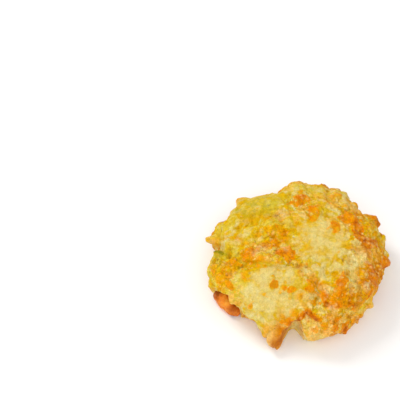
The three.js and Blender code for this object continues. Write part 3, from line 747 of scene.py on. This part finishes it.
def put(name, material, vertices, faces, columns):
    """A mesh object from arrays: vertices in mm from the crown's foot, faces as arrays of equal rows,
    and one number a vertex for each named column."""
    mesh = bpy.data.meshes.new(name)
    loops = np.concatenate([f.reshape(-1) for f in faces])
    sizes = np.concatenate([np.full(len(f), f.shape[1]) for f in faces])
    starts = np.concatenate([[0], np.cumsum(sizes)[:-1]])
    vertices = (vertices + np.array([*PLAN_SHIFT, 0])) * MM
    mesh.vertices.add(len(vertices))
    mesh.vertices.foreach_set("co", vertices.astype(np.float32).reshape(-1))
    mesh.loops.add(len(loops))
    mesh.loops.foreach_set("vertex_index", loops.astype(np.int32))
    mesh.polygons.add(len(sizes))
    mesh.polygons.foreach_set("loop_start", starts.astype(np.int32))
    mesh.polygons.foreach_set("loop_total", sizes.astype(np.int32))
    mesh.update(calc_edges=True)
    mesh.validate()
    for key, column in columns.items():
        mesh.attributes.new(key, "FLOAT", "POINT").data.foreach_set("value", column.astype(np.float32))
    mesh.polygons.foreach_set("use_smooth", np.ones(len(mesh.polygons), dtype=bool))
    mesh.materials.append(material)
    obj = bpy.data.objects.new(name, mesh)
    bpy.context.scene.collection.objects.link(obj)
    return obj


# ---- materials ----


def tint(r, g, b):
    """A colour from its 0 to 255 values as seen, made linear for the shader."""
    seen = [v / 255 for v in (r, g, b)]
    return tuple(v / 12.92 if v <= 0.04045 else ((v + 0.055) / 1.055) ** 2.4 for v in seen) + (1,)


# The crust from pale to brown, once creamy and once saturated.
CREAMY = [(0, (233, 218, 162)), (0.2, (227, 206, 126)), (0.4, (225, 190, 94)), (0.55, (228, 172, 78)),
          (0.7, (220, 150, 58)), (0.85, (204, 125, 42)), (1, (180, 98, 30))]
RICH = [(0, (226, 208, 106)), (0.2, (221, 195, 60)), (0.4, (220, 177, 6)), (0.55, (225, 160, 0)),
        (0.7, (221, 141, 0)), (0.85, (206, 119, 0)), (1, (180, 92, 0))]
# Melted cheddar from pale to toasted.
CHEESE = [(0, (232, 184, 22)), (0.2, (234, 170, 4)), (0.45, (234, 149, 0)), (0.65, (225, 130, 0)),
          (0.85, (203, 105, 0)), (1, (166, 78, 0))]
# Cheddar browned on the tin, from its bright waist to its dark rim.
BROWNED = [(0, (246, 182, 76)), (0.3, (240, 152, 46)), (0.6, (218, 119, 34)), (0.85, (180, 88, 18)),
           (1, (136, 64, 10))]
ROSY_GOLD = tint(248, 192, 98)
GRAIN = tint(247, 212, 134)
# Pale flour, also used as painted light on the notch's shaded wall.
FLOUR_AND_PAINTED_LIGHT = tint(240, 222, 152)
# Painted shade: the darker olive gold that the creases and hollows get.
CREVICE_SHADE = tint(192, 138, 14)
BROWN = tint(168, 94, 24)
LEAF = tint(172, 158, 34)
UNDERSIDE = tint(206, 138, 50), tint(170, 96, 26)
# The pepper's flesh, its browned spots and its peel.
FLESH = tint(214, 192, 76), tint(186, 160, 22)
FLESH_SPOTS = tint(208, 146, 24)
PEEL = tint(168, 152, 2), tint(126, 114, 0)
BUTTER = (1, 0.72, 0.25, 1)  # the fat's shine takes the crust's colour
# How much red, green and blue grow where a speckle of the crust is paler.
PALER = (1.2, 1.3, 1.9)


class Nodes:
    """Adds nodes to a material and links them. Values are sockets or plain numbers."""

    def __init__(self, name):
        self.material = bpy.data.materials.new(name)
        self.material.use_nodes = True
        self.tree = self.material.node_tree
        self.shader = self.tree.nodes["Principled BSDF"]

    def add(self, kind, **values):
        node = self.tree.nodes.new(kind)
        for key, value in values.items():
            setattr(node, key, value)
        return node

    def feed(self, socket, value):
        """Links a socket to the input, or sets the input to a plain value."""
        if hasattr(value, "is_linked"):
            self.tree.links.new(value, socket)
        else:
            socket.default_value = value

    def fill(self, node, **values):
        """Feeds the node's inputs by name, with underscores for spaces."""
        for key, value in values.items():
            self.feed(node.inputs[key.replace("_", " ")], value)
        return node

    def row(self, node, *values):
        """Feeds the node's first inputs in their order and gives its first output."""
        for socket, value in zip(node.inputs, values):
            self.feed(socket, value)
        return node.outputs[0]

    def field(self, name):
        return self.add("ShaderNodeAttribute", attribute_name=name).outputs["Fac"]

    def math(self, operation, a, b):
        return self.row(self.add("ShaderNodeMath", operation=operation), a, b)

    def times(self, a, b):
        return self.math("MULTIPLY", a, b)

    def total(self, first, *others):
        """The sum of all the values."""
        for other in others:
            first = self.math("ADD", first, other)
        return first

    def centred(self, value, strength, middle=0.5):
        """The value less the middle, times the strength."""
        return self.times(self.math("SUBTRACT", value, middle), strength)

    def vector(self, operation, *values):
        return self.row(self.add("ShaderNodeVectorMath", operation=operation), *values)

    def span(self, value, low, high, to_low=0, to_high=1):
        """The value's smooth step from low to high, stretched over the second pair."""
        node = self.add("ShaderNodeMapRange", interpolation_type="SMOOTHSTEP")
        return self.row(node, value, low, high, to_low, to_high)

    def blend(self, share, a, b):
        """The colour that lies the given share of the way from a to b."""
        node = self.fill(self.add("ShaderNodeMix", data_type="RGBA"), Factor=share)
        self.feed(node.inputs[6], a)
        self.feed(node.inputs[7], b)
        return node.outputs[2]

    def lighter(self, colour, amount, shares):
        """The colour with each of its parts raised by its own share of the amount."""
        return self.vector("MULTIPLY", colour, self.vector("MULTIPLY_ADD", amount, shares, (1, 1, 1)))

    def ramp(self, value, stops):
        """The colour at the value on a run of stops, straight between neighbours."""
        node = self.add("ShaderNodeValToRGB")
        elements = node.color_ramp.elements
        while len(elements) < len(stops):
            elements.new(0.5)
        for element, (at, colour) in zip(elements, stops):
            element.position = at
            element.color = tint(*colour)
        return self.row(node, value)

    def place(self):
        return self.add("ShaderNodeTexCoord").outputs["Object"]

    def cloud(self, size_mm, detail=3, roughness=0.55, warp=0):
        """Layered noise from 0 to 1 of the given size, bent by itself as far as the warp says."""
        node = self.add("ShaderNodeTexNoise")
        scale = 1 / (size_mm * MM)
        self.fill(node, Vector=self.place(), Scale=scale, Detail=detail, Roughness=roughness, Distortion=warp)
        return node.outputs[0]

    def cells(self, size_mm, warp_mm):
        """The distance to the nearest of scattered points, and a number of its own for each point, at
        places moved by noise that is a little larger than the cells."""
        at = self.place()
        drift = self.fill(self.add("ShaderNodeTexNoise"), Vector=at, Scale=1 / (size_mm * 1.3 * MM))
        centred = self.vector("SUBTRACT", drift.outputs["Color"], (0.5, 0.5, 0.5))
        at = self.vector("ADD", at, self.vector("MULTIPLY", centred, (warp_mm * MM,) * 3))
        node = self.fill(self.add("ShaderNodeTexVoronoi"), Vector=at, Scale=1 / (size_mm * MM))
        return node.outputs["Distance"], self.row(self.add("ShaderNodeSeparateColor"), node.outputs["Color"])

    def relief(self, height, distance_mm, strength, under=None):
        """The normal bent by a height, on top of another relief where there is one."""
        node = self.add("ShaderNodeBump")
        self.fill(node, Distance=distance_mm * MM, Strength=strength, Height=height)
        if under is not None:
            self.fill(node, Normal=under)
        return node.outputs[0]


def crust_material():
    """The colour is a blend of the creamy and the saturated run, by how far the crust is baked and how
    deep a yellow it has. Rosy gold, cheddar, pale grains, flour with a spot of painted light, painted
    shade in the creases and hollows, toast, green and the underside lie over it, each by its own field
    and a cloud or cells, and a speckle lightens it. The relief is noise in two sizes, fine cells and crumbs."""
    n = Nodes("baked_crust")
    names = ("bake", "cheddar", "orange", "grain", "toast", "smooth", "near")
    bake, cheddar, orange, grain, toast, smooth, near = map(n.field, names)
    small_gap, small_own = n.cells(1, 0.9)
    large_own = n.cells(1.9, 1.6)[1]
    lively = n.total(near, n.times(smooth, -0.5))
    busy = n.span(lively, -0.4, 0.8, 0.35, 1)
    calm = n.span(smooth, 0, 1, 1, 0.52)
    mottled = n.times(calm, n.span(near, 0, 1, 1, 1.4))
    deeper = n.times(mottled, n.centred(n.span(n.cloud(3.6, 1, 0.6, 0.5), 0.36, 0.64), 0.85, 0.45))
    depth = n.total(
        bake,
        n.times(deeper, 0.14),
        n.times(orange, 0.12),
        n.times(toast, 0.25),
        n.times(calm, n.total(n.centred(n.cloud(7, 1, 0.5), 0.65), n.centred(n.cloud(2.8, 1, 0.6), 0.4))),
        n.times(busy, n.total(n.centred(large_own, 0.14), n.centred(small_gap, 0.08, 0.45))),
        n.times(busy, n.centred(grain, -0.3)),
    )
    richness = n.total(
        deeper,
        n.centred(n.field("yellow"), 1.2, -0.03),
        n.centred(bake, 0.6, 0.25),
        n.times(orange, 0.5),
        n.centred(grain, -0.32),
    )
    colour = n.blend(n.span(richness, 0.3, 0.95), n.ramp(depth, CREAMY), n.ramp(depth, RICH))
    rosy = n.times(n.field("rosy"), n.span(n.cloud(2.4, 1, 0.6), 0.4, 0.6, 0.1, 0.8))
    colour = n.blend(rosy, colour, ROSY_GOLD)
    cheese = n.total(
        n.times(orange, 0.62),
        n.times(n.centred(n.cloud(2.6, 2, 0.6), 1.1), n.span(orange, 0, 0.6, 0.45, 1)),
        n.centred(small_own, 0.1),
        n.centred(grain, -0.4),
        n.times(toast, 0.3),
    )
    melted = n.total(cheddar, n.centred(n.cloud(1.6, 1, 0.5), 0.8), n.centred(large_own, 0.15))
    colour = n.blend(n.times(n.span(melted, 0.33, 0.7), 0.97), colour, n.ramp(cheese, CHEESE))
    crumb_gap, crumb_own = n.cells(1.5, 0.7)
    crumbs = n.times(n.span(crumb_own, 0.55, 0.7), n.span(crumb_gap, 0.5, 0.2))
    crumbs = n.times(crumbs, n.times(near, 0.45))
    colour = n.blend(n.math("MAXIMUM", crumbs, n.times(n.field("cream"), 0.8)), colour, GRAIN)
    # pale flour, and painted light that lifts the notch's shaded wall
    floury_and_painted_light = n.times(n.field("floury_and_painted_light"), n.span(n.cloud(1.6, 1, 0.7), 0.35, 0.6, 0.3, 1))
    colour = n.blend(floury_and_painted_light, colour, FLOUR_AND_PAINTED_LIGHT)
    # painted shade in the creases and hollows
    colour = n.blend(n.times(n.field("low"), 0.5), colour, CREVICE_SHADE)
    browned = n.times(toast, n.span(n.cloud(3.4, 4, 0.8), 0.34, 0.62, 0.1, 1))
    colour = n.blend(n.span(browned, 0.4, 1, 0, 0.85), colour, BROWN)
    green = n.times(n.field("green"), n.span(n.cloud(3.4, 2), 0.4, 0.6, 0.1, 0.85))
    colour = n.blend(green, colour, LEAF)
    below = n.blend(n.span(n.cloud(7, 4, 0.7), 0.35, 0.62), *UNDERSIDE)
    colour = n.blend(n.times(n.field("under"), 0.9), colour, below)
    speckle = n.total(n.centred(n.cloud(0.5, 2, 0.75), 0.8), n.centred(n.cloud(1.3, 1, 0.6), 0.45))
    speckle = n.times(speckle, n.span(lively, -0.4, 0.8, 0.65, 1.3))
    softened = n.span(toast, 0.3, 1, 1, 0.55)
    coarse = n.relief(n.cloud(2.2, 3, 0.7, 0.6), 0.75, 0.9)
    middle = n.relief(n.times(n.cloud(1, 4, 0.8, 0.4), softened), 0.45, 0.9, coarse)
    fine = n.relief(n.times(small_gap, softened), 0.22, 0.9, middle)
    n.fill(
        n.shader, Base_Color=n.lighter(colour, speckle, PALER),
        Roughness=n.total(n.span(cheddar, 0, 1, 0.62, 0.38), n.centred(n.cloud(0.8), 0.4)),
        Specular_IOR_Level=0.1, Specular_Tint=BUTTER, Subsurface_Weight=0.15,
        Subsurface_Radius=(1, 0.5, 0.1), Subsurface_Scale=MM,
        Normal=n.relief(crumbs, 0.25, 0.9, fine),
    )
    return n.material


def pepper_material():
    """Cooked pepper: peel on the skin's side, flesh with browned spots elsewhere, each mottled by a
    cloud between two tints."""
    n = Nodes("cooked_pepper")
    skin = n.field("skin")
    flesh = n.blend(n.span(n.cloud(1.6, 3), 0.35, 0.65), *FLESH)
    flesh = n.blend(n.span(n.cloud(2.6, 3), 0.5, 0.62, 0, 0.8), flesh, FLESH_SPOTS)
    peel = n.blend(n.span(n.cloud(2, 3), 0.35, 0.65), *PEEL)
    n.fill(
        n.shader, Base_Color=n.blend(skin, flesh, peel), Roughness=n.span(skin, 0, 1, 0.4, 0.25),
        Specular_IOR_Level=0.15, Specular_Tint=BUTTER, Subsurface_Weight=0.2,
        Subsurface_Radius=(0.6, 0.8, 0.2), Subsurface_Scale=MM,
        Normal=n.relief(n.cloud(0.7, 3), 0.2, 0.6),
    )
    return n.material


def browned_material():
    """Browned cheddar: the browned run by the mesh's own tone and a cloud."""
    n = Nodes("browned_cheddar")
    tone = n.total(n.field("tone"), n.centred(n.cloud(1.6, 3, 0.7), 0.5))
    n.fill(
        n.shader, Base_Color=n.ramp(tone, BROWNED), Roughness=0.38, Specular_IOR_Level=0.3,
        Specular_Tint=BUTTER, Subsurface_Weight=0.15, Subsurface_Radius=(1, 0.35, 0.08),
        Subsurface_Scale=1.2 * MM, Normal=n.relief(n.cloud(1, 4), 0.35, 0.8),
    )
    return n.material


# ---- the two small pieces ----

SLICE = {"place": (-33.4, -8.2, 20.2), "axis": (-0.5, -0.68, 0.54), "skin_radius": 10.5, "wall": 3.2,
         "thickness": 3.2, "arc": 50, "boxiness": 4, "bluntness": 8, "rings": 48, "sectors": 60}
FOOT = {"spine": ((-35.4, -14.7), (-31.7, -20.6), (-26.1, -25.5)), "half_widths": (3.4, 2.5, 3),
        "half_heights": (4.1, 3.1, 3.7), "boxiness": 2.1, "bluntness": 2.6, "rings": 90, "sectors": 80,
        "hollows": ((-34.6, -17.4, 4.8), (-28.4, -24.2, 4.8)), "hollow_radius": 1.5}


def bar(piece, curve, side, halves, rise):
    """A closed bar along a curve: boxes across it, rounded by raising the cosine and the sine to a power,
    that close to a point at each end, moved out from the curve by the given function of the points.
    Returns the vertices, the faces, and the angle of each vertex round the curve."""
    rings, sectors, bluntness = piece["rings"], piece["sectors"], piece["bluntness"]
    share = (1 - np.cos(np.linspace(0, math.pi, rings + 1))) / 2
    angle = np.arange(sectors) / sectors * 2 * math.pi
    forward = unit(curve(share + 0.01) - curve(share - 0.01))
    a = side(share)
    b = np.cross(forward, a)
    full = np.maximum(0, 1 - np.abs(2 * share - 1) ** bluntness) ** (1 / bluntness)
    half_a, half_b = halves(share)

    def box(value):
        return np.sign(value) * np.abs(value) ** (2 / piece["boxiness"])

    out = (a[:, None] * (half_a * full)[:, None, None] * box(np.cos(angle))[None, :, None]
           + b[:, None] * (half_b * full)[:, None, None] * box(np.sin(angle))[None, :, None])
    grid = curve(share)[:, None] + out
    grid = grid + unit(out) * (rise(grid) * full[:, None])[..., None]
    count = rings - 1
    index = 1 + np.arange(count * sectors).reshape(count, sectors)
    tips = [fan(index[0], 0), fan(index[-1], count * sectors + 1)[:, ::-1]]
    vertices = np.concatenate([[grid[0, 0]], grid[1:-1].reshape(-1, 3), [grid[-1, 0]]])
    angles = np.concatenate([[0], np.tile(angle, count), [0]])
    return vertices, [tube(index)[:, [0, 3, 2, 1]], *tips], angles


def slice_mesh():
    """The pepper slice: a bar along the middle of the wall on an arc of the ring, out from its hub by
    the cosine and sine of the angle, wrinkled by noise in two sizes, with its skin outside."""
    axis = unit(np.array(SLICE["axis"]))
    up = unit(np.array([0, 0, 1]) - axis * axis[2])
    sideways = np.cross(up, axis)
    hub = np.array(SLICE["place"]) - up * SLICE["skin_radius"] - axis * SLICE["thickness"] / 2

    def outward(share):
        angle = (np.radians(SLICE["arc"]) * (share - 0.5))[:, None]
        return up * np.cos(angle) + sideways * np.sin(angle)

    def curve(share):
        return hub + outward(share) * (SLICE["skin_radius"] - SLICE["wall"] / 2)

    def halves(share):
        return np.full(share.shape, SLICE["wall"] / 2), np.full(share.shape, SLICE["thickness"] / 2)

    def rise(p):
        return 0.5 * layered(p, 2.6, 301) + 0.1 * noise(p, 0.9, 307)

    vertices, faces, angles = bar(SLICE, curve, outward, halves, rise)
    return vertices, faces, {"skin": ease((np.cos(angles) - 0.1) / 0.6)}


def foot_mesh():
    """The browned cheddar: a bar along its spine, as high as most of its half height, with curds in two
    sizes, fine noise and a bell for each hollow, cut off flat at the resting plane. Its tone grows
    away from the waist, near the plane, in the hollows and at the far end."""
    first, waist, last = FOOT["spine"]

    def through(values, share):
        """The parabola through three values at the start, the middle and the end."""
        a, b, c = values
        return a + share * (4 * b - 3 * a - c) + 2 * share**2 * (a - 2 * b + c)

    def halves(share):
        return through(FOOT["half_widths"], share), through(FOOT["half_heights"], share)

    def curve(share):
        x, y = (through(line, share) for line in zip(first, waist, last))
        return np.stack([x, y, 0.85 * halves(share)[1]], -1)

    def side(share):
        forward = curve(share + 0.01) - curve(share - 0.01)
        return unit(np.stack([forward[:, 1], -forward[:, 0], np.zeros(share.shape)], -1))

    def hollows(p, radius):
        return sum(np.exp(-((p - at) ** 2).sum(-1) / radius**2) for at in FOOT["hollows"])

    def rise(p):
        lumps = 0.7 * (curds(p, 3.2, 311) - CURD_MIDDLE) + 0.4 * (curds(p, 1.6, 317) - CURD_MIDDLE)
        return lumps + 0.2 * noise(p, 0.9, 331) - 0.9 * hollows(p, FOOT["hollow_radius"])

    vertices, faces, _ = bar(FOOT, curve, side, halves, rise)
    vertices[:, 2] = np.maximum(vertices[:, 2], 0)

    def distance(place):
        return np.hypot(vertices[:, 0] - place[0], vertices[:, 1] - place[1])

    from_waist = distance(waist) / math.dist(first, waist)
    tone = 0.27 + 0.38 * ease(from_waist) + 0.2 * ease(1 - vertices[:, 2] / 2.2)
    tone = tone + 0.5 * hollows(vertices, 1.3 * FOOT["hollow_radius"])
    tone = tone + 0.45 * ease(1 - distance(first) / 5) + 0.4 * layered(vertices, 2.4, 337)
    return vertices, faces, {"tone": np.clip(tone, 0, 1)}


# ---- build ----

crust_point, crust_fields = crust_surface()
baked = crust_material()
crust = put("baked_crust", baked, *crust_mesh(crust_point, crust_fields))
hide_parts("dough")
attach(crust, "root")

crumbs = put("crumbs", baked, *crumbs_mesh(crust_point, crust_fields))
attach(crumbs, "root")

pepper = put("pepper_slice_skin", pepper_material(), *slice_mesh())
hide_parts("pepper_slice")
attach(pepper, "root")

foot = put("browned_cheddar_foot", browned_material(), *foot_mesh())
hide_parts("cheddar_foot")
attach(foot, "root")

# ---- floor, light, camera ----

FLOOR_HALF = 8
FLOOR_WHITE = (0.96, 0.96, 0.955, 1)
# Lights aimed at the middle: place and size in metres, power in watts.
LIGHTS = {
    "key": ((-0.32, 0.28, 0.45), 0.22, 1.56),
    "fill": ((0.45, -0.15, 0.35), 0.50, 0.65),
    "left_fill": ((-0.45, -0.25, 0.25), 0.50, 0.34),
    "front": ((-0.05, -0.45, 0.50), 0.50, 0.57),
    "front_low": ((-0.02, -0.55, 0.14), 0.50, 0.78),
}
KEY_COLOUR = (1, 0.99, 0.97)
SKY_STRENGTH = 0.64
LENS = 85
SENSOR = 36
PHOTO_SIZE = 400
CAMERA_DISTANCE = 0.405
CAMERA_ELEVATION = 51
AIM_PIXEL = (299, 266)  # where the crown's foot lies in the photograph

scene = bpy.context.scene
floor_mesh = bpy.data.meshes.new("studio_floor")
corners = [(a * FLOOR_HALF, b * FLOOR_HALF, 0) for a, b in ((-1, -1), (1, -1), (1, 1), (-1, 1))]
floor_mesh.from_pydata(corners, [], [(0, 1, 2, 3)])
floor = bpy.data.objects.new("studio_floor", floor_mesh)
scene.collection.objects.link(floor)
floor_nodes = Nodes("studio_floor")
floor_nodes.fill(floor_nodes.shader, Base_Color=FLOOR_WHITE, Roughness=0.9)
floor.data.materials.append(floor_nodes.material)

for name, (place, size, power) in LIGHTS.items():
    light = bpy.data.lights.new(name, "AREA")
    light.size = size
    light.energy = power
    light.color = KEY_COLOUR if name == "key" else (1, 1, 1)
    lamp = bpy.data.objects.new(name, light)
    lamp.location = place
    lamp.rotation_euler = (-Vector(place)).to_track_quat("-Z", "Y").to_euler()
    scene.collection.objects.link(lamp)

world = bpy.data.worlds.new("studio")
world.use_nodes = True
world.node_tree.nodes["Background"].inputs[0].default_value = (1, 1, 1, 1)
world.node_tree.nodes["Background"].inputs[1].default_value = SKY_STRENGTH
scene.world = world
scene.view_settings.view_transform = "Standard"

camera_data = bpy.data.cameras.new("camera")
camera_data.lens = LENS
camera_data.sensor_width = SENSOR
camera = bpy.data.objects.new("camera", camera_data)
scene.collection.objects.link(camera)
elevation = math.radians(CAMERA_ELEVATION)
turned = Vector((0, math.cos(elevation), -math.sin(elevation))).to_track_quat("-Z", "Y")
pixel = SENSOR / LENS / PHOTO_SIZE * CAMERA_DISTANCE
aim_x, aim_y = ((place - PHOTO_SIZE / 2) * pixel for place in AIM_PIXEL)
camera.rotation_mode = "QUATERNION"
camera.rotation_quaternion = turned
camera.location = Vector((*PLAN_SHIFT, 0)) * MM - turned @ Vector((aim_x, -aim_y, -CAMERA_DISTANCE))
scene.camera = camera
